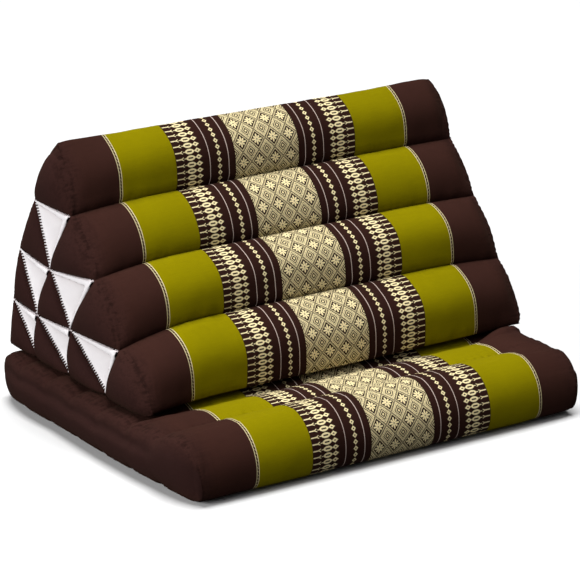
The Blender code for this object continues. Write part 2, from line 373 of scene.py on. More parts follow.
def triangle_cover(material):
    """Prism with a triangular grid at its ends, drawn to the sewn shape, with cloth lengths as its UV map."""
    bpy.ops.mesh.primitive_cone_add(vertices=3, radius1=1.0, radius2=1.0, depth=2.0, location=(0, 0, 0))
    obj = bpy.context.object
    count = ROWS * STEPS
    cut_edges(obj, count - 1, in_a_cap)
    cut_edges(obj, SLICES - 1, runs_along(2))
    mesh = obj.data
    first = max(mesh.vertices, key=lambda v: v.co.xy.length)
    start = math.atan2(first.co.y, first.co.x)
    corners = [Vector((math.cos(start + turn * 2 * math.pi / 3), math.sin(start + turn * 2 * math.pi / 3)))
               for turn in range(3)]
    places = []
    for vert in mesh.vertices:
        weights = [(1.0 + 2.0 * vert.co.xy.dot(c)) / 3.0 for c in corners]
        places.append([round(w * count) / STEPS for w in weights] + [vert.co.z])
    keep_places(mesh, places)
    fill_cover(obj, triangle_spot, 3.0, 0.0028, 0.005)
    places = read_places(mesh)
    lengths = {side: arc_lengths([face_point(side, i / 48, "left", 0.0) for i in range(ROWS * 48 + 1)])
               for side in ("front", "back")}
    layer = cloth_layer(mesh)
    for polygon in mesh.polygons:
        spots = [places[v] for v in polygon.vertices]
        cap = all(abs(spot[3]) > 0.9999 for spot in spots)
        front_side = all(spot[1] < 1e-5 for spot in spots)
        back_side = all(spot[2] < 1e-5 for spot in spots)
        for loop in polygon.loop_indices:
            index = mesh.loops[loop].vertex_index
            x, y, z = mesh.vertices[index].co
            top, back, front, along = places[index]
            if cap:
                uv = (0.30 + y, z)
            elif front_side:
                row = min(int(min(spot[2] for spot in spots) + 1e-5), ROWS - 1)
                uv = (on_cloth(x), lengths["front"][round(front * 48)] - TAKEN_UP[row])
            elif back_side:
                uv = (on_cloth(x), -lengths["back"][round(back * 48)])
            else:
                uv = (0.55 + x, y)
            layer.data[loop].uv = uv
    mark_seams(mesh, lambda a, b: abs(a[3]) < 0.9999 and any(
        a[3 - i] < 1e-5 and b[3 - i] < 1e-5 and a[i] == b[i] and
        abs(a[i] - round(a[i])) < 1e-4 and 0.5 < a[i] < ROWS - 0.5 for i in (1, 2)))
    pucker(obj, 0.0011, 0.0011, 3.0, BASE_Z)
    return new_piece(obj, "triangle_cover", material)


def keep_places(mesh, places):
    """Stores where each point belongs on the cover, so that finer points can be placed by the same rule."""
    for number, values in enumerate(zip(*places)):
        set_float(mesh, f"place_{number}", values)


def read_places(mesh):
    names = sorted(a.name for a in mesh.attributes if a.name.startswith("place_"))
    return list(zip(*([item.value for item in mesh.attributes[name].data] for name in names)))


def cloth_layer(mesh):
    while mesh.uv_layers:
        mesh.uv_layers.remove(mesh.uv_layers[0])
    return mesh.uv_layers.new(name="cloth")


def mark_seams(mesh, on_seam):
    """Sharp edges where on_seam(place, place) holds, so that the sewn channels stay crisp."""
    places = read_places(mesh)
    for edge in mesh.edges:
        a, b = edge.vertices
        if on_seam(places[a], places[b]):
            edge.use_edge_sharp = True


def fill_cover(obj, spot_of, pressure, cap, grow):
    """Slack shape, pressed out by its filling, halved into finer faces and placed again by the same rule."""
    mesh = obj.data
    fullness = SLACK
    spots = [spot_of(*place, fullness) for place in read_places(mesh)]
    for vert, spot in zip(mesh.vertices, spots):
        vert.co = spot.co
    moves = press_out(obj, [spot.held for spot in spots], pressure, cap, grow)
    pressed = mesh.attributes.new("pressed", "FLOAT_VECTOR", "POINT")
    for item, move, spot in zip(pressed.data, moves, spots):
        item.vector = move * min(1.0, spot.seam_gap / 0.012)
    bpy.context.view_layer.objects.active = obj
    finer = obj.modifiers.new("finer", "SUBSURF")
    finer.subdivision_type = "SIMPLE"
    finer.levels = finer.render_levels = 1
    bpy.ops.object.modifier_apply(modifier="finer")
    seam_gap, end_gap = [], []
    pressed = [item.vector.copy() for item in mesh.attributes["pressed"].data]
    for vert, place, move in zip(mesh.vertices, read_places(mesh), pressed):
        spot = spot_of(*place, fullness)
        vert.co = spot.co + move
        seam_gap.append(spot.seam_gap)
        end_gap.append(spot.end_gap)
    set_float(mesh, "seam_gap", seam_gap)
    set_float(mesh, "end_gap", end_gap)
    mesh.attributes.remove(mesh.attributes["pressed"])


def press_out(obj, held, pressure, cap, grow):
    """How far a cloth simulation moves each point; the seams hold and nothing moves further than cap."""
    start = [v.co.copy() for v in obj.data.vertices]
    group = obj.vertex_groups.new(name="sewn")
    group.add([i for i, sewn in enumerate(held) if sewn], 1.0, "REPLACE")
    cloth = obj.modifiers.new("cloth", "CLOTH")
    settings = cloth.settings
    settings.quality = 6
    settings.mass = 0.3
    settings.tension_stiffness = settings.compression_stiffness = 12.0
    settings.shear_stiffness = 4.0
    settings.bending_stiffness = 0.4
    settings.tension_damping = settings.compression_damping = settings.shear_damping = 8.0
    settings.air_damping = 2.0
    settings.shrink_min = -grow
    settings.use_pressure = True
    settings.uniform_pressure_force = pressure
    settings.vertex_group_mass = "sewn"
    settings.effector_weights.gravity = 0.0
    cloth.point_cache.frame_start = 1
    cloth.point_cache.frame_end = 20
    for step in range(1, 21):
        bpy.context.scene.frame_set(step)
    shaped = obj.evaluated_get(bpy.context.evaluated_depsgraph_get()).to_mesh()
    moves = [vert.co - rest for vert, rest in zip(shaped.vertices, start)]
    moves = [Vector((0.3 * move.x, move.y, move.z)) * (cap / (cap + move.length)) for move in moves]
    moves = evened_out(obj, held, moves)
    obj.modifiers.remove(cloth)
    obj.vertex_groups.clear()
    bpy.context.scene.frame_set(1)
    return moves


def evened_out(obj, held, moves):
    """The moves averaged with those next to them, so the fill pulls the cloth smooth between its seams."""
    for turn in range(8):
        sums = [move.copy() for move in moves]
        counts = [1] * len(moves)
        for edge in obj.data.edges:
            a, b = edge.vertices
            sums[a] += moves[b]
            sums[b] += moves[a]
            counts[a] += 1
            counts[b] += 1
        moves = [Vector() if sewn else total / count for total, count, sewn in zip(sums, counts, held)]
    return moves


def tip_point(shape, side, turn):
    """Rounded front or back end of the mat; turn is 1 at the crest, 0 at the wall, -1 on the floor."""
    angle = turn * math.pi / 2
    height = shape["rise"] * math.sin(angle) if turn >= 0 else \
        -shape["drop"] * math.sin(-angle) ** 0.75
    reach = shape["reach"] * max(0.0, math.cos(angle)) ** (1.0 if turn >= 0 else 0.6)
    return Vector((shape["y"] + side * reach, shape["z"] + height))


def mat_rows():
    """Mesh columns of the mat from front to back as (top point, bottom point, distance to the next seam)."""
    rows = []
    crest = tip_point(NOSE, -1, 1.0)
    tip_steps = 8
    for i in range(tip_steps):
        turn = 0.42 + 0.58 * i / tip_steps
        rows.append((tip_point(NOSE, -1, turn), tip_point(NOSE, -1, -0.50 - 0.50 * i / tip_steps), 0.05))
    first = GROOVES[0]
    for i in range(tip_steps):
        f = i / tip_steps
        y = crest.x + (first.y - crest.x) * f
        rows.append((Vector((y, first.top + (crest.y - first.top) * math.cos(f * math.pi / 2) ** 0.9)),
                     Vector((y, first.bottom * max(0.0, (f - 0.5) * 2) ** 2)), first.y - y))
    for a, b in zip(GROOVES, GROOVES[1:]):
        for i in range(MAT_STEPS):
            f = i / MAT_STEPS
            y = a.y + (b.y - a.y) * f
            top = a.top + (b.top - a.top) * f + MAT_CROWN * arch(f)
            if b.y > -0.07:
                top = min(top, MAT_TOP_FLAT)
            bottom = max(0.0, a.bottom + (b.bottom - a.bottom) * f - MAT_SOLE * arch(f))
            rows.append((Vector((y, top)), Vector((y, bottom)), min(y - a.y, b.y - y)))
    last = GROOVES[-1]
    crest = tip_point(TAIL, 1, 1.0)
    for i in range(6):
        f = i / 6
        y = last.y + (crest.x - last.y) * f
        rows.append((Vector((y, last.top + (crest.y - last.top) * math.sin(f * math.pi / 2) ** 0.8)),
                     Vector((y, last.bottom * (1.0 - f) ** 2)), y - last.y))
    for i in range(tip_steps):
        turn = 1.0 - 0.62 * i / (tip_steps - 1)
        rows.append((tip_point(TAIL, 1, turn), tip_point(TAIL, 1, -1.0 + 0.50 * i / (tip_steps - 1)), 0.05))
    return rows


def mat_wall(side, f):
    """Point of the front or back wall between the last top and bottom points, f from bottom to top."""
    shape, top = (NOSE, 0.42) if side < 0 else (TAIL, 0.38)
    return tip_point(shape, side, -0.50 + (top + 0.50) * f)


MAT_ROWS = mat_rows()
COLUMNS = len(MAT_ROWS) - 1
THICKEST = max(row[0].y for row in MAT_ROWS)
UNDER_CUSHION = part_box("triangle_cushion")[0][1] + 0.006


def mat_row(column):
    """Top point, bottom point and distance to the next seam at any place between two mesh columns."""
    k = min(int(column + 1e-5), COLUMNS - 1)
    f = max(0.0, column - k)
    a, b = MAT_ROWS[k], MAT_ROWS[k + 1]
    return a[0].lerp(b[0], f), a[1].lerp(b[1], f), a[2] + (b[2] - a[2]) * f


def mat_spot(z, column, f, fullness=1.0):
    """Place of one point of the mat's cover: z is -1 or 1 on an end, f runs from the bottom up."""
    end = "left" if z < 0.0 else "right"
    x = spread(z, MAT_END_X[end])
    share = end_share(x, MAT_END_X[end])
    top, bottom, gap = mat_row(column)
    walled = column < 1e-5 or column > COLUMNS - 1e-5
    p = mat_wall(-1 if column < 1.0 else 1, f) if walled else bottom.lerp(top, f)
    if p.x < UNDER_CUSHION:
        p = Vector((p.x, p.y - (1.0 - fullness) * 0.06 * arch(min(1.0, gap / 0.053)) * f))
    if end == "right" and f > 0.0 and not walled:
        fade = min(1.0, max(0.0, (x - 0.178) / 0.045))
        fade = fade * fade * (3.0 - 2.0 * fade) * f
        level = top.y * 0.99 if p.x < NOSE["y"] else 0.0700
        p = Vector((p.x, p.y + (level - top.y) * fade * (1.0 if p.x < UNDER_CUSHION else 0.0)))
    drop = MAT_TAPER_Z * share * min(1.0, p.y / THICKEST) if p.x < -0.09 else 0.0
    p = Vector((p.x * (1.0 - 0.012 * share), p.y - drop))
    rim = f < 1e-4 or f > 0.9999
    from_end = MAT_END_X[end] - abs(x)
    lean = math.copysign(MAT_LEAN, z) * rounding(from_end) * (2.0 * min(1.0, p.y / 0.045) - 1.0)
    if abs(z) > 0.9999:
        waist = math.sin(math.pi * min(1.0, max(0.0, f))) ** 0.5
        length = max(0.0, 1.0 - abs((column / COLUMNS - 0.5) * 2.0) ** 6)
        tubes = 1.0 - 0.16 * (1.0 - abs(math.cos(math.pi * (p.x + 0.0205) / 0.2)))
        crease = math.exp(-((f - 0.70) / 0.10) ** 2) * min(1.0, max(0.0, (p.x + 0.145) / 0.05)) * length
        x = math.copysign(MAT_END_X[end] + MAT_PUFF[end] * waist * length * tubes - MAT_CREASE * crease, z)
        return Spot(Vector((x + lean, p.x, p.y)), rim or walled, 0.02, -0.07 * min(f, 1.0 - f))
    held = (rim and not walled and gap < 1e-6) or f < 1e-4 or (p.x > UNDER_CUSHION and f > 0.9999)
    return Spot(Vector((x + lean, p.x, p.y)), held, gap, from_end)


def mat_cover(material):
    """Box cut into columns, slices and layers, then drawn into sewn tubes with puffed ends."""
    bpy.ops.mesh.primitive_cube_add(size=2.0, location=(0, 0, 0))
    obj = bpy.context.object
    cut_edges(obj, MAT_SLICES - 1, runs_along(0))
    cut_edges(obj, COLUMNS - 1, runs_along(1))
    cut_edges(obj, MAT_WALL_STEPS - 1, runs_along(2))
    mesh = obj.data
    keep_places(mesh, [(v.co.x, round((v.co.y + 1.0) / 2.0 * COLUMNS), (v.co.z + 1.0) / 2.0)
                       for v in mesh.vertices])
    fill_cover(obj, mat_spot, 2.0, 0.0018, 0.003)
    places = read_places(mesh)
    walls = [mat_wall(-1, i / 48) for i in range(49)]
    wall_lengths = arc_lengths(walls)
    top_lengths = arc_lengths([mat_row(i / 2)[0] for i in range(2 * COLUMNS + 1)])
    layer = cloth_layer(mesh)
    for polygon in mesh.polygons:
        spots = [places[v] for v in polygon.vertices]
        cap = all(abs(spot[0]) > 0.9999 for spot in spots)
        upper = all(spot[2] > 0.9999 for spot in spots)
        front_wall = all(spot[1] < 1e-5 for spot in spots)
        sole = all(spot[2] < 1e-5 for spot in spots) and max(spot[1] for spot in spots) < 16.5
        for loop in polygon.loop_indices:
            index = mesh.loops[loop].vertex_index
            x, y, z = mesh.vertices[index].co
            along, column, f = places[index]
            cloth_x = 1.011 * x + 0.0010
            if cap:
                uv = (0.55 + y, z)
            elif upper:
                uv = (cloth_x, -top_lengths[round(column * 2)])
            elif front_wall:
                uv = (cloth_x, wall_lengths[-1] - wall_lengths[round(f * 48)])
            elif sole:
                uv = (cloth_x, wall_lengths[-1] + abs(y - walls[0].x))
            else:
                uv = (0.55 + x, y)
            layer.data[loop].uv = uv
    mark_seams(mesh, lambda a, b: a[1] == b[1] and min(a[2], b[2]) > 0.9999 and abs(a[0]) < 0.9999 and
               mat_row(a[1])[2] < 1e-6)
    pucker(obj, 0.0008, 0.0010, 11.0, 0.0)
    return new_piece(obj, "mat_cover", material)


def pucker(obj, seam_height, dent, seed, floor):
    """Small waves along the seams and the uneven lie of the filling; keeps where the cloth is gathered."""
    mesh = obj.data
    mesh.update()
    seam_gap = [a.value for a in mesh.attributes["seam_gap"].data]
    end_gap = [a.value for a in mesh.attributes["end_gap"].data]
    normals = [v.normal.copy() for v in mesh.vertices]
    gathers = []
    for vert, normal, gap, from_end in zip(mesh.vertices, normals, seam_gap, end_gap):
        co = vert.co
        free = min(1.0, max(0.0, gap) / 0.006)
        near_seam = math.exp(-gap / 0.010) * min(1.0, gap / 0.0025)
        near_end = math.exp(-abs(from_end) / 0.010)
        waves = soft_noise(co.x, co.z * 0.35, 0.012, seed)
        broad = soft_noise(co.x, co.z + co.y * 0.6, 0.050, seed + 3.0) * 0.6 + \
            soft_noise(co.x, co.z - co.y * 0.6, 0.022, seed + 5.0) * 0.35
        rim = -0.0010 * math.exp(-(from_end / 0.0024) ** 2) * (1.0 + soft_noise(co.y, co.z, 0.007, seed))
        move = seam_height * near_seam * waves + dent * free * broad + rim
        if co.z < floor + 0.004:
            move *= max(0.0, (co.z - floor) / 0.004)
        vert.co = co + normal * move
        gathers.append(max(near_end, 0.55 * math.exp(-gap / 0.006) if from_end > 0.0 else 0.0))
    set_float(mesh, "gathers", gathers)
    mesh.update()


def panel_sheet(name, nodes, corner_names, end, material):
    """White cloth triangle, sunk between three tube ends, with a rolled hem along its top and front edges,
    and painted shade kept on its points under the hems and behind the front top corner.
    """
    bpy.ops.mesh.primitive_circle_add(vertices=3, radius=1.0, fill_type="NGON", location=(0, 0, 0))
    obj = bpy.context.object
    cut_edges(obj, PANEL_STEPS - 1, lambda edge: True)
    mesh = obj.data
    tips = sorted(mesh.vertices, key=lambda v: -v.co.xy.length)[:3]
    tips = [t.co.xy.copy() for t in tips]
    side = -1.0 if end == "left" else 1.0
    back_top, front_top, low = (nodes[c] for c in corner_names)
    corners = inset_corners((back_top, front_top, low), PANEL_INSET)
    heights = [triangle_height(corners, i) for i in range(3)]
    outer = corner_names[0][1] == corner_names[0][0] - 1
    # painted shade: a dark line under the top and front hems and a broad shade behind the front top corner,
    # stored on each point
    pocket = []
    for vert in mesh.vertices:
        back, front, down = (max(0.0, (1.0 + 2.0 * vert.co.xy.dot(t)) / 3.0) for t in tips)
        from_front, from_back, from_top = (w * h for w, h in zip((back, front, down), heights))
        p = corners[0] * back + corners[1] * front + corners[2] * down
        top_hem = HEM_TOP * (0.32 + 0.68 * front / max(1e-6, front + back))
        front_hem = (HEM_FRONT if outer else 0.0020) * (0.30 + 0.70 * front / max(1e-6, front + down))
        inside = min(from_top - top_hem, from_front - front_hem)
        sink = min(1.0, max(0.0, inside) / 0.0018)
        # how dark the painted shade is: a thin shadow line next to the hems and a broad shade towards the
        # front top corner
        depth = math.exp(-max(0.0, inside) / 0.0022) * (0.45 + 0.55 * front ** 0.5)
        depth += 0.55 * front ** 0.8 * math.exp(-max(0.0, inside) / 0.014)
        pocket.append(depth * min(1.0, from_back / 0.012) if inside > -0.0004 else 0.0)
        sink = sink * sink * (3.0 - 2.0 * sink) * min(1.0, from_back / 0.030) ** 0.8
        out = 0.0004 - (PANEL_DISH + PANEL_CORNER * front ** 0.7 * math.exp(-max(0.0, inside) / 0.016)) * sink
        for gap, width in ((from_top, top_hem), (from_front, front_hem)):
            if gap < width:
                roll = math.sqrt(max(0.0, 1.0 - (2.0 * gap / width - 1.0) ** 2))
                fade = min(1.0, from_back / 0.006 + 0.2)
                out = max(out, 0.0004 + min(HEM_RISE, 0.35 * width) * roll * fade)
        seed = 21.0 + nodes[corner_names[0]].x * 100
        out += 0.0005 * soft_noise(p.x, p.y, 0.011, seed) + 0.00035 * soft_noise(p.x, p.y, 0.0032, seed) * (
            1.0 if inside < 0.0 else 0.35)
        if min(from_top, from_front) < 1e-6:
            ragged = 0.00045 * soft_noise(p.x * 1.3, p.y, 0.0019, seed + 4.0)
            p += Vector((0.4, 0.9 if from_top < 1e-6 else -0.2)) * ragged
        vert.co = Vector((side * (END_X[end] + PANEL_THICK + out), p.x, p.y))
    set_float(mesh, "pocket", pocket)
    bpy.context.view_layer.objects.active = obj
    if mesh.polygons[0].normal.x * side < 0.0:
        mesh.flip_normals()
    wall = obj.modifiers.new("wall", "SOLIDIFY")
    wall.thickness = PANEL_THICK
    wall.offset = -1.0
    bpy.ops.object.modifier_apply(modifier="wall")
    new_piece(obj, name, material)
    return obj, corners


CELLS = [(row, col) for row in range(1, ROWS) for col in range(row)]


def panel_corners(row, col):
    """The three seam crossings that a panel reaches: top back, top front, bottom."""
    return (row, col), (row, col + 1), (row + 1, col + 1)


def inset_corners(corners, inset):
    """Corners of a triangle moved in so that each side moves in by the same distance."""
    a, b, c = corners
    sides = ((b - c).length, (c - a).length, (a - b).length)
    around = sum(sides)
    centre = (a * sides[0] + b * sides[1] + c * sides[2]) / around
    radius = abs((b - a).cross(c - a)) / around
    return [centre + (p - centre) * (1.0 - inset / radius) for p in corners]


def triangle_height(corners, index):
    """Distance of a corner from the opposite side."""
    a, b, c = corners[index], corners[index - 1], corners[index - 2]
    return abs((b - a).cross(c - a)) / (b - c).length


class Wires:
    """Short calls that add nodes to one node tree and give back the sockets that they put out."""

    def __init__(self, tree):
        self.tree = tree

    def feed(self, socket, value):
        if isinstance(value, bpy.types.NodeSocket):
            self.tree.links.new(value, socket)
        else:
            socket.default_value = value

    def math(self, operation, *values):
        node = self.tree.nodes.new("ShaderNodeMath")
        node.operation = operation
        for socket, value in zip(node.inputs, values):
            self.feed(socket, value)
        return node.outputs[0]

    def inside(self, distance, half_width, blur):
        """1 where the distance is below half_width, with a soft edge."""
        node = self.tree.nodes.new("ShaderNodeMapRange")
        ends = {"Value": distance, "From Min": half_width + blur, "From Max": half_width - blur}
        for name, value in ends.items():
            self.feed(node.inputs[name], value)
        return node.outputs["Result"]

    def between(self, value, low, high, blur):
        return self.inside(self.math("ABSOLUTE", self.math("SUBTRACT", value, (low + high) / 2.0)),
                           (high - low) / 2.0, blur)

    def either(self, *masks):
        result = masks[0]
        for mask in masks[1:]:
            result = self.math("MAXIMUM", result, mask)
        return result

    def without(self, mask, hole):
        return self.math("MULTIPLY", mask, self.math("SUBTRACT", 1.0, hole))

    def repeat(self, value, pitch, start=0.0):
        """Signed distance to the middle of the nearest repeat."""
        moved = self.math("SUBTRACT", value, start)
        turns = self.math("ROUND", self.math("DIVIDE", moved, pitch))
        return self.math("SUBTRACT", moved, self.math("MULTIPLY", turns, pitch))

    def mix(self, factor, a, b):
        node = self.tree.nodes.new("ShaderNodeMix")
        node.data_type = "RGBA"
        self.feed(node.inputs[0], factor)
        self.feed(node.inputs[6], a)
        self.feed(node.inputs[7], b)
        return node.outputs[2]

    def noise(self, vector, scale, detail=2.0):
        node = self.tree.nodes.new("ShaderNodeTexNoise")
        self.feed(node.inputs["Vector"], vector)
        node.inputs["Scale"].default_value = scale
        node.inputs["Detail"].default_value = detail
        return node.outputs[0]

    def shade(self, colour, factor):
        """Colour times a number that changes over the surface."""
        node = self.tree.nodes.new("ShaderNodeVectorMath")
        node.operation = "SCALE"
        self.feed(node.inputs[0], colour if isinstance(colour, bpy.types.NodeSocket) else colour[:3])
        self.feed(node.inputs["Scale"], factor)
        return node.outputs[0]

    def place(self, group, **values):
        node = self.tree.nodes.new("ShaderNodeGroup")
        node.node_tree = group
        for name, value in values.items():
            self.feed(node.inputs[name], value)
        return node.outputs


def new_group(name, inputs, outputs):
    """Empty node group with float inputs and outputs; vectors and colours are named with their type."""
    tree = bpy.data.node_groups.new(name, "ShaderNodeTree")
    for label, kind in inputs.items():
        tree.interface.new_socket(name=label, in_out="INPUT", socket_type="NodeSocket" + kind)
    for label, kind in outputs.items():
        tree.interface.new_socket(name=label, in_out="OUTPUT", socket_type="NodeSocket" + kind)
    come = tree.nodes.new("NodeGroupInput")
    leave = tree.nodes.new("NodeGroupOutput")
    return tree, Wires(tree), come.outputs, leave.inputs


def colour(red, green, blue):
    """Linear colour from 0 to 255 screen values."""
    linear = [((c / 255 + 0.055) / 1.055) ** 2.4 if c > 10 else c / 255 / 12.92 for c in (red, green, blue)]
    return (*linear, 1.0)


def lattice_group():
    """Sloping lattice of diamond cells: flowers and nested diamonds in turn. Millimetres in, mask out."""
    across, along = CELL
    tree, w, come, leave = new_group("lattice", {"Across": "Float", "Along": "Float"}, {"Mask": "Float"})
    x, v = w.math("DIVIDE", come["Across"], across), w.math("DIVIDE", come["Along"], along)
    a, b = w.math("ADD", x, v), w.math("SUBTRACT", x, v)
    cell_a, cell_b = w.math("ROUND", a), w.math("ROUND", b)
    p, q = w.math("SUBTRACT", a, cell_a), w.math("SUBTRACT", b, cell_b)
    size_p, size_q = w.math("ABSOLUTE", p), w.math("ABSOLUTE", q)
    d, along_ring = w.math("MAXIMUM", size_p, size_q), w.math("MINIMUM", size_p, size_q)
    flower_cell = w.math("ABSOLUTE", w.math("MODULO", w.math("ADD", cell_a, cell_b), 2.0))
    solid = w.between(d, 0.398, 0.440, 0.008)
    dots = w.math("GREATER_THAN", w.math("ABSOLUTE", w.repeat(along_ring, 0.083)), 0.032)
    band = w.either(solid, w.math("MULTIPLY", w.math("GREATER_THAN", d, 0.445), dots))
    inner_ring = w.between(d, 0.208, 0.278, 0.008)
    outer_dots = w.math("MULTIPLY", w.between(d, 0.322, 0.370, 0.008),
                        w.math("GREATER_THAN", w.math("ABSOLUTE", w.repeat(along_ring, 0.083, 0.04)), 0.015))
    rings = w.without(w.between(d, 0.155, 0.400, 0.010), w.either(inner_ring, outer_dots))
    nested = w.either(w.inside(d, 0.072, 0.010), rings)
    dx = w.math("MULTIPLY", w.math("ADD", p, q), across / 2)
    dv = w.math("MULTIPLY", w.math("SUBTRACT", p, q), along / 2)
    radius = w.math("SQRT", w.math("ADD", w.math("MULTIPLY", dx, dx), w.math("MULTIPLY", dv, dv)))
    turn = w.math("ARCTAN2", dv, dx)
    lobes = w.math("ABSOLUTE", w.math("COSINE", w.math("MULTIPLY", turn, 4.0)))
    reach = w.math("MULTIPLY_ADD", w.math("POWER", lobes, 0.85), 5.3, 1.2)
    petals = w.inside(w.math("SUBTRACT", radius, reach), 0.0, 0.25)
    petals = w.without(w.math("MULTIPLY", petals, w.inside(d, 0.325, 0.01)), w.inside(radius, 0.80, 0.25))
    cell = w.math("ADD", w.math("MULTIPLY", petals, flower_cell), w.without(nested, flower_cell))
    w.feed(leave["Mask"], w.either(band, cell))
    return tree


def chain_group():
    """Row of small open diamonds. Millimetres from the row's middle in, mask out."""
    tree, w, come, leave = new_group(
        "diamond_chain", {"Across": "Float", "Along": "Float"}, {"Mask": "Float"})
    x = w.math("DIVIDE", w.math("ABSOLUTE", come["Across"]), 2.9)
    v = w.math("DIVIDE", w.math("ABSOLUTE", w.repeat(come["Along"], FIGURE_PITCH)), 3.1)
    d = w.math("ADD", x, v)
    w.feed(leave["Mask"], w.without(w.inside(d, 1.0, 0.08), w.inside(d, 0.38, 0.08)))
    return tree


def spear_group():
    """Row of spear figures: pointed diamond, long bead, barbs and tail. Millimetres from the middle in."""
    tree, w, come, leave = new_group("spears", {"Across": "Float", "Along": "Float"}, {"Mask": "Float"})
    x = come["Across"]
    v = w.math("ABSOLUTE", w.repeat(come["Along"], FIGURE_PITCH))
    from_tip = w.math("ABSOLUTE", w.math("SUBTRACT", x, SPEARS["tip"]))
    tip = w.math("ADD", w.math("DIVIDE", from_tip, 4.2), w.math("DIVIDE", v, 2.8))
    tip = w.without(w.inside(tip, 1.0, 0.08), w.inside(tip, 0.34, 0.08))
    from_bead = w.math("ABSOLUTE", w.math("SUBTRACT", x, SPEARS["bead"]))
    bead = w.math("ADD", w.math("POWER", w.math("DIVIDE", from_bead, 5.8), 2.0),
                  w.math("POWER", w.math("DIVIDE", v, 2.95), 1.6))
    slot = w.math("MULTIPLY", w.inside(from_bead, 3.0, 0.3), w.inside(v, 0.80, 0.2))
    bead = w.without(w.inside(bead, 1.0, 0.08), slot)
    from_point = w.math("SUBTRACT", SPEARS["point"], x)
    barbs = w.math("MULTIPLY", w.between(from_point, 0.0, 3.1, 0.2), w.inside(
        w.math("ABSOLUTE", w.math("SUBTRACT", v, w.math("MULTIPLY", from_point, 0.50))), 0.52, 0.2))
    neck = w.math("MULTIPLY", w.between(x, 91.5, 106.0, 0.2), w.inside(v, 0.42, 0.2))
    tail = w.math("MULTIPLY", w.between(x, 108.8, 116.6, 0.2), w.inside(v, 0.62, 0.2))
    tail = w.either(w.without(neck, slot), tail)
    w.feed(leave["Mask"], w.either(tip, bead, barbs, tail))
    return tree


def rope_group():
    """Narrow border of two cream lines with ticks between them. Millimetres from its middle in."""
    tree, w, come, leave = new_group("rope", {"Across": "Float", "Along": "Float"},
                                     {"Mask": "Float", "Ground": "Float"})
    size = w.math("ABSOLUTE", come["Across"])
    outer = w.between(come["Across"], -1.80, -1.15, 0.10)
    lines = w.either(outer, w.between(come["Across"], 1.15, 1.65, 0.10))
    sloping = w.math("ADD", come["Along"], w.math("MULTIPLY", come["Across"], 0.9))
    from_tick = w.math("ABSOLUTE", w.repeat(sloping, 4.0))
    ticks = w.math("MULTIPLY", w.inside(size, 1.0, 0.2), w.inside(from_tick, 0.20, 0.15))
    w.feed(leave["Mask"], w.either(lines, ticks))
    w.feed(leave["Ground"], w.inside(size, 1.9, 0.2))
    return tree


def weave_group():
    """Plain weave: raised warp and weft threads. Millimetres in, height from 0 to 1 and slubs out."""
    tree, w, come, leave = new_group("weave", {"Across": "Float", "Along": "Float", "Thread": "Float"},
                                     {"Height": "Float", "Slub": "Float"})
    a = w.math("DIVIDE", come["Across"], come["Thread"])
    b = w.math("DIVIDE", come["Along"], come["Thread"])
    warp = w.math("ABSOLUTE", w.math("SINE", w.math("MULTIPLY", a, math.pi)))
    weft = w.math("ABSOLUTE", w.math("SINE", w.math("MULTIPLY", b, math.pi)))
    over = w.math("ABSOLUTE", w.math("MODULO", w.math("ADD", w.math("FLOOR", a), w.math("FLOOR", b)), 2.0))
    height = w.math("ADD", w.math("MULTIPLY", warp, over), w.without(weft, over))
    spot = w.tree.nodes.new("ShaderNodeCombineXYZ")
    w.feed(spot.inputs[0], w.math("MULTIPLY", come["Across"], 0.05))
    w.feed(spot.inputs[1], w.math("MULTIPLY", come["Along"], 1.3))
    w.feed(leave["Height"], height)
    w.feed(leave["Slub"], w.noise(spot.outputs[0], 1.0, 3.0))
    return tree


def dye_group():
    """Uneven dye and handling over some centimetres, as a number round 1."""
    tree, w, come, leave = new_group("dye", {"Place": "Vector", "Depth": "Float"}, {"Factor": "Float"})
    broad = w.noise(come["Place"], 14.0, 3.0)
    small = w.noise(come["Place"], 160.0, 4.0)
    both = w.math("ADD", w.math("MULTIPLY", broad, 0.65), w.math("MULTIPLY", small, 0.35))
    w.feed(leave["Factor"], w.math("MULTIPLY_ADD", w.math("SUBTRACT", both, 0.5), come["Depth"], 1.0))
    return tree


def folds_group():
    """Small folds of gathered cloth: across the end seams and across the long seams."""
    tree, w, come, leave = new_group("folds", {"Place": "Vector"}, {"Height": "Float"})
    total = None
    for stretch in ((55.0, 330.0, 330.0), (260.0, 45.0, 45.0)):
        scaled = w.tree.nodes.new("ShaderNodeVectorMath")
        scaled.operation = "MULTIPLY"
        w.feed(scaled.inputs[0], come["Place"])
        scaled.inputs[1].default_value = stretch
        height = w.noise(scaled.outputs[0], 1.0, 2.0)
        total = height if total is None else w.math("ADD", total, height)
    w.feed(leave["Height"], total)
    return tree


GROUPS = {"folds": folds_group(), "lattice": lattice_group(), "chain": chain_group(),
          "spears": spear_group(), "rope": rope_group(), "weave": weave_group(), "dye": dye_group()}

BROWN = colour(55, 32, 27)
# darker copy of the brown for the end faces: painted shade, as the ends get less light than the tube tops
BROWN_END_SHADE = colour(48, 29, 27)
BROWN_DARK = colour(43, 24, 20)
GREEN = colour(130, 120, 0)
CREAM = colour(250, 234, 182)
PINK_GREY = colour(218, 198, 188)
WHITE = colour(252, 248, 250)
# painted shade colour for the shadow lines under the panels' hems and their sunk front top corners
POCKET_SHADE = colour(122, 104, 98)


def start_material(name, roughness, sheen, sheen_tint):
    """Matt cloth to add a colour and a weave to."""
    material = bpy.data.materials.new(name)
    material.use_nodes = True
    tree = material.node_tree
    shader = next(n for n in tree.nodes if n.type == "BSDF_PRINCIPLED")
    shader.inputs["Roughness"].default_value = roughness
    shader.inputs["Specular IOR Level"].default_value = 0.02
    shader.inputs["Sheen Weight"].default_value = sheen
    shader.inputs["Sheen Roughness"].default_value = 0.55
    shader.inputs["Sheen Tint"].default_value = sheen_tint
    return material, Wires(tree), shader


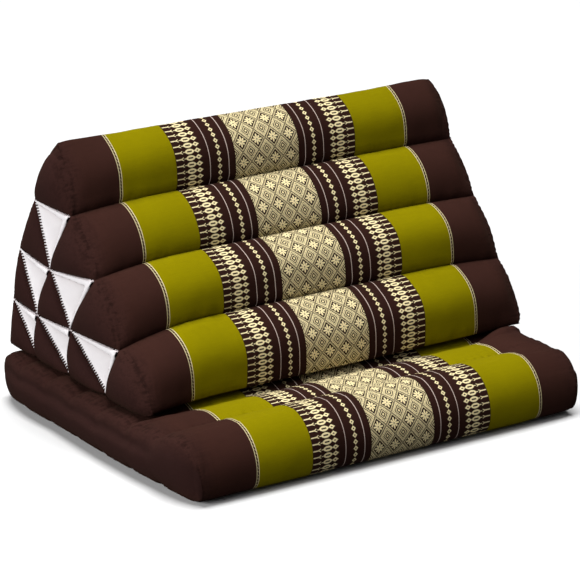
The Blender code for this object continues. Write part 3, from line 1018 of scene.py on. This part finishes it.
def bump(w, shader, height, strength, distance):
    node = w.tree.nodes.new("ShaderNodeBump")
    node.inputs["Strength"].default_value = strength
    node.inputs["Distance"].default_value = distance
    w.feed(node.inputs["Height"], height)
    w.feed(shader.inputs["Normal"], node.outputs["Normal"])


def cloth_place(w):
    """UV map as signed millimetres across and along the cloth."""
    uv = w.tree.nodes.new("ShaderNodeUVMap")
    uv.uv_map = "cloth"
    split = w.tree.nodes.new("ShaderNodeSeparateXYZ")
    w.feed(split.inputs[0], uv.outputs[0])
    return w.math("MULTIPLY", split.outputs[0], 1000.0), w.math("MULTIPLY", split.outputs[1], 1000.0)


def object_place(w):
    return w.tree.nodes.new("ShaderNodeTexCoord").outputs["Object"]


def painted(w, name):
    """A number kept on each point of the mesh under that name."""
    node = w.tree.nodes.new("ShaderNodeAttribute")
    node.attribute_name = name
    return node.outputs["Fac"]


def cover_material(name):
    """Woven cotton in bands: patterned middle, green stripes, brown ends, with painted shade on the end faces
    and in the troughs of the gathered folds.
    """
    material, w, shader = start_material(name, 0.86, 0.02, (0.6, 0.45, 0.25, 1.0))
    across, along = cloth_place(w)
    step_u = w.math("SNAP", w.math("ADD", across, THREAD_STEP / 2), THREAD_STEP)
    step_v = w.math("SNAP", w.math("ADD", along, THREAD_STEP / 2), THREAD_STEP)
    size = w.math("ABSOLUTE", step_u)
    lattice = w.place(GROUPS["lattice"], Across=step_u, Along=step_v)["Mask"]
    lattice = w.math("MULTIPLY", lattice, w.inside(size, LATTICE_HALF, 0.1))
    chain = w.place(GROUPS["chain"], Across=w.math("SUBTRACT", size, CHAIN_MIDDLE), Along=step_v)["Mask"]
    spears = w.place(GROUPS["spears"], Across=size, Along=step_v)["Mask"]
    rope = w.place(GROUPS["rope"], Across=w.math("SUBTRACT", size, ROPE_MIDDLE), Along=step_v)
    thin = w.either(*(w.inside(w.math("ABSOLUTE", w.math("SUBTRACT", size, line)), 0.42, 0.1)
                      for line in THIN_LINES))
    green = w.between(w.math("ABSOLUTE", across), *GREEN_BAND, 0.2)
    figures = w.either(lattice, chain, spears, rope["Mask"])
    weave = w.place(GROUPS["weave"], Across=across, Along=along, Thread=THREAD["cover"])
    dye = w.place(GROUPS["dye"], Place=object_place(w), Depth=0.28)["Factor"]
    slub = w.math("MULTIPLY_ADD", w.math("SUBTRACT", weave["Slub"], 0.5), 0.22, 1.0)
    ground = w.mix(green, BROWN, GREEN)
    # painted shade: the end faces take the darker brown, fading out over the last 2 cm of the sides
    ground = w.mix(w.inside(painted(w, "end_gap"), 0.0, 0.020), ground, BROWN_END_SHADE)
    ground = w.mix(rope["Ground"], ground, BROWN_DARK)
    patterned = w.inside(w.math("ABSOLUTE", across), 117.0, 0.2)
    ground = w.mix(w.math("MULTIPLY", patterned, 0.75), ground, BROWN_DARK)
    cloth = w.mix(w.math("MULTIPLY", thin, 0.92), ground, PINK_GREY)
    cloth = w.mix(w.math("MULTIPLY", figures, 0.94), cloth, CREAM)
    threads = w.math("MULTIPLY_ADD", weave["Height"], 0.16, 0.88)
    w.feed(shader.inputs["Roughness"], w.math("MULTIPLY_ADD", figures, -0.12, 0.88))
    floats = w.math("MULTIPLY", w.either(figures, thin), 0.6)
    raised = w.math("ADD", w.math("MULTIPLY", weave["Height"], 0.5), floats)
    folds = w.place(GROUPS["folds"], Place=object_place(w))["Height"]
    gathers = painted(w, "gathers")
    # painted shade in the troughs of the gathered folds: up to 40 % darker where the fold height is low
    fold_shade = w.math("MULTIPLY", w.inside(folds, 0.92, 0.10), gathers)
    folds = w.math("MULTIPLY", folds, gathers)
    raised = w.math("MULTIPLY_ADD", folds, 9.0, raised)
    lit = w.math("MULTIPLY_ADD", fold_shade, -0.40, 1.0)
    # weave, painted fold shade, dye and slubs multiplied into one brightness factor
    uneven = w.math("MULTIPLY", w.math("MULTIPLY", threads, lit), w.math("MULTIPLY", dye, slub))
    w.feed(shader.inputs["Base Color"], w.shade(cloth, uneven))
    bump(w, shader, raised, 0.6, 0.00024)
    return material


def panel_material():
    """Plain white cotton, greyed towards a painted shade colour under the hems and behind the front top
    corner.
    """
    material, w, shader = start_material("white_cotton", 0.9, 0.12, (1.0, 1.0, 1.0, 1.0))
    place = object_place(w)
    split = w.tree.nodes.new("ShaderNodeSeparateXYZ")
    w.feed(split.inputs[0], place)
    along, up = (w.math("MULTIPLY", split.outputs[i], 1000.0) for i in (1, 2))
    weave = w.place(GROUPS["weave"], Across=along, Along=up, Thread=THREAD["panel"])
    dye = w.place(GROUPS["dye"], Place=place, Depth=0.08)["Factor"]
    threads = w.math("MULTIPLY_ADD", weave["Height"], 0.06, 0.95)
    # white mixed towards the painted shade colour by the painted shade stored on the points
    cloth = w.mix(painted(w, "pocket"), WHITE, POCKET_SHADE)
    w.feed(shader.inputs["Base Color"], w.shade(cloth, w.math("MULTIPLY", threads, dye)))
    bump(w, shader, weave["Height"], 0.35, 0.00018)
    return material


def thread_material(name, thread):
    """Twisted sewing thread."""
    material, w, shader = start_material(name, 0.7, 0.03, thread)
    place = object_place(w)
    split = w.tree.nodes.new("ShaderNodeSeparateXYZ")
    w.feed(split.inputs[0], place)
    slope = w.math("ADD", w.math("ADD", split.outputs[0], split.outputs[1]), split.outputs[2])
    twist = w.math("SINE", w.math("MULTIPLY", slope, 9000.0))
    dye = w.place(GROUPS["dye"], Place=place, Depth=0.15)["Factor"]
    w.feed(shader.inputs["Base Color"], w.shade(thread, w.math(
        "MULTIPLY", dye, w.math("MULTIPLY_ADD", twist, 0.05, 0.95))))
    bump(w, shader, twist, 0.4, 0.0001)
    return material


def stitches(name, ends, thick, template, material):
    """Short strands as one mesh, each arched from its first to its last point, away from the cloth."""
    mesh = bpy.data.meshes.new(name)
    obj = bpy.data.objects.new(name, mesh)
    bpy.context.scene.collection.objects.link(obj)
    rows = bmesh.new()
    for first, last, out in ends:
        middle, along = (first + last) / 2.0, last - first
        length = along.length
        along.normalize()
        up = (out - along * out.dot(along)).normalized()
        turn = Matrix((along, up.cross(along), up)).transposed()
        made = []
        for co in template["points"]:
            arched = co.z * thick + thick * 0.4 * (1.0 - 4.0 * co.x * co.x)
            made.append(rows.verts.new(middle + turn @ Vector((co.x * length, co.y * thick, arched))))
        for face in template["faces"]:
            rows.faces.new([made[i] for i in face])
    bmesh.ops.recalc_face_normals(rows, faces=rows.faces)
    rows.to_mesh(mesh)
    rows.free()
    return new_piece(obj, name, material)


def surface_of(*objects):
    """What a needle meets first on its way in from either end."""
    points, faces = [], []
    for obj in objects:
        start = len(points)
        points += [v.co.copy() for v in obj.data.vertices]
        faces += [[start + i for i in polygon.vertices] for polygon in obj.data.polygons]
    return BVHTree.FromPolygons(points, faces)


def on_end(tree, side, y, z, lift):
    """Point a little above the cloth of an end face."""
    hit = tree.ray_cast(Vector((side * 0.5, y, z)), Vector((-side, 0.0, 0.0)))[0]
    return hit + Vector((side * lift, 0.0, 0.0)) if hit else None


def end_stitches(end, tree):
    """Brown stitches over the back edge of every panel, loose threads on the top hems and in the corners."""
    side = -1.0 if end == "left" else 1.0
    out = Vector((side, 0.0, 0.0))
    nodes = NODES[end]
    overcast, loose = [], []

    def lay(strands, a, b, lift=0.00035):
        first, last = on_end(tree, side, a.x, a.y, lift), on_end(tree, side, b.x, b.y, lift)
        if first and last and abs(first.x - last.x) < 0.006:
            strands.append((first, last, out))

    for row, col in CELLS:
        back, front, low = inset_corners([nodes[c] for c in panel_corners(row, col)], PANEL_INSET)
        edge = low - back
        count = int(edge.length / STITCH_PITCH)
        inward = Vector((-edge.y, edge.x)).normalized()
        if inward.dot(front - back) < 0.0:
            inward = -inward
        for i in range(1, count):
            at = back + edge * (i / count)
            shake = 0.0006 * soft_noise(at.x, at.y, 0.002, row + 7.0 * col)
            lay(overcast, at - inward * 0.0014, at + inward * (0.0042 + shake) + edge.normalized() * 0.0006)
        top = front - back
        count = int(top.length / LOOSE_PITCH)
        for i in range(3, count):
            share = i / count
            at = back + top * share + Vector((0.0, 0.0002))
            turn = soft_noise(at.x * 3.0, at.y, 0.0031, 40.0 + row) * 2.2
            if soft_noise(at.x, at.y * 2.0, 0.0027, 60.0 + col) + share < 0.45:
                continue
            reach = Vector((math.sin(turn), 0.4 + 0.5 * math.cos(turn))) * (0.0007 + 0.0009 * share)
            lay(loose, at - Vector((0.0, 0.0011)), at + reach)
        for corner, towards, number in ((back, front, 5), (front, low, 6), (low, back, 7)):
            for i in range(number):
                turn = 2.0 * math.pi * i / number + row + col
                arm = Vector((math.cos(turn), math.sin(turn))) * 0.0014
                middle = corner + (towards - corner).normalized() * 0.0006
                lay(loose, middle - arm * 0.4, middle + arm)
    return overcast, loose


def floor_material():
    """White paper to the camera that throws less light back up, as a floor further from the lamps would."""
    material, w, shader = start_material("pale_floor", 1.0, 0.0, (1.0, 1.0, 1.0, 1.0))
    tree = material.node_tree
    shader.inputs["Base Color"].default_value = (0.16, 0.16, 0.16, 1.0)
    shader.inputs["Specular IOR Level"].default_value = 0.0
    paper = tree.nodes.new("ShaderNodeBsdfDiffuse")
    paper.inputs["Color"].default_value = (0.77, 0.77, 0.77, 1.0)
    seen = tree.nodes.new("ShaderNodeLightPath")
    choose = tree.nodes.new("ShaderNodeMixShader")
    w.feed(choose.inputs[0], seen.outputs["Is Camera Ray"])
    w.feed(choose.inputs[1], shader.outputs[0])
    w.feed(choose.inputs[2], paper.outputs[0])
    finish = next(n for n in tree.nodes if n.type == "OUTPUT_MATERIAL")
    w.feed(finish.inputs["Surface"], choose.outputs[0])
    return material


def strand_template():
    """A short thread, round in section with closed tapered tips."""
    bpy.ops.mesh.primitive_uv_sphere_add(segments=6, ring_count=5, radius=0.5, location=(0, 0, 0))
    obj = bpy.context.object
    bpy.ops.object.mode_set(mode="EDIT")
    bpy.ops.mesh.select_all(action="SELECT")
    bpy.ops.transform.rotate(value=math.pi / 2, orient_axis="Y", center_override=(0, 0, 0))
    bpy.ops.object.mode_set(mode="OBJECT")
    template = {"points": [v.co.copy() for v in obj.data.vertices],
                "faces": [tuple(p.vertices) for p in obj.data.polygons]}
    bpy.data.objects.remove(obj)
    return template


def move_to_frame(obj):
    """Shapes are made about the pattern's middle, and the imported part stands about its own."""
    for vert in obj.data.vertices:
        vert.co.x += SHIFT


white_cotton = panel_material()
white_thread = thread_material("white_thread", colour(240, 228, 230))
brown_thread = thread_material("brown_thread", colour(58, 36, 32))
strand = strand_template()

triangle = triangle_cover(cover_material("striped_cotton"))
mat = mat_cover(cover_material("striped_cotton_mat"))
pieces = [triangle, mat]
for end in ("left", "right"):
    panels = []
    for number, cell in enumerate(CELLS, 1):
        panel, corners = panel_sheet(f"white_panel_{end}_{number}", NODES[end], panel_corners(*cell), end,
                                     white_cotton)
        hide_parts(f"end_panel_{end}_{number}")
        panels.append(panel)
    overcast, loose = end_stitches(end, surface_of(triangle, *panels))
    pieces += panels
    pieces.append(stitches(f"edge_stitches_{end}", overcast, STITCH_THICK, strand, brown_thread))
    pieces.append(stitches(f"loose_threads_{end}", loose, LOOSE_THICK, strand, white_thread))
for piece in pieces:
    move_to_frame(piece)

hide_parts("triangle_cushion")
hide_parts("seat_mat")

# Camera at the photograph's angle
camera = bpy.data.objects.new("camera", bpy.data.cameras.new("camera"))
bpy.context.scene.collection.objects.link(camera)
camera.location = (-2.1359, -3.1595, 1.4261)
camera.rotation_euler = (math.radians(90 - 18.72), 0.0, math.radians(-34))
camera.data.lens = 227.86
camera.data.sensor_width = 36.0
camera.data.clip_end = 50.0
bpy.context.scene.camera = camera

# Pale floor
bpy.ops.mesh.primitive_plane_add(size=14.0, location=(0, 0, 0))
floor = bpy.context.object
floor.name = "floor"
floor.data.materials.append(floor_material())


def soft_light(name, spot, aim, size, power):
    light = bpy.data.lights.new(name, "AREA")
    light.shape = "SQUARE"
    light.size = size
    light.energy = power
    obj = bpy.data.objects.new(name, light)
    bpy.context.scene.collection.objects.link(obj)
    obj.location = spot
    obj.rotation_euler = (Vector(aim) - Vector(spot)).to_track_quat("-Z", "Y").to_euler()


soft_light("overhead", (0.0, 0.5, 8.0), (0.0, 0.0, 0.1), 5.0, 910.0)
soft_light("from_left", (-2.7, -0.5, 1.1), (0.0, 0.0, 0.12), 1.2, 62.0)
world = bpy.data.worlds.new("studio")
bpy.context.scene.world = world
world.use_nodes = True
sky = next(n for n in world.node_tree.nodes if n.type == "BACKGROUND")
sky.inputs["Color"].default_value = (1.0, 1.0, 1.0, 1.0)
sky.inputs["Strength"].default_value = 0.07
bpy.context.scene.view_settings.view_transform = "Standard"
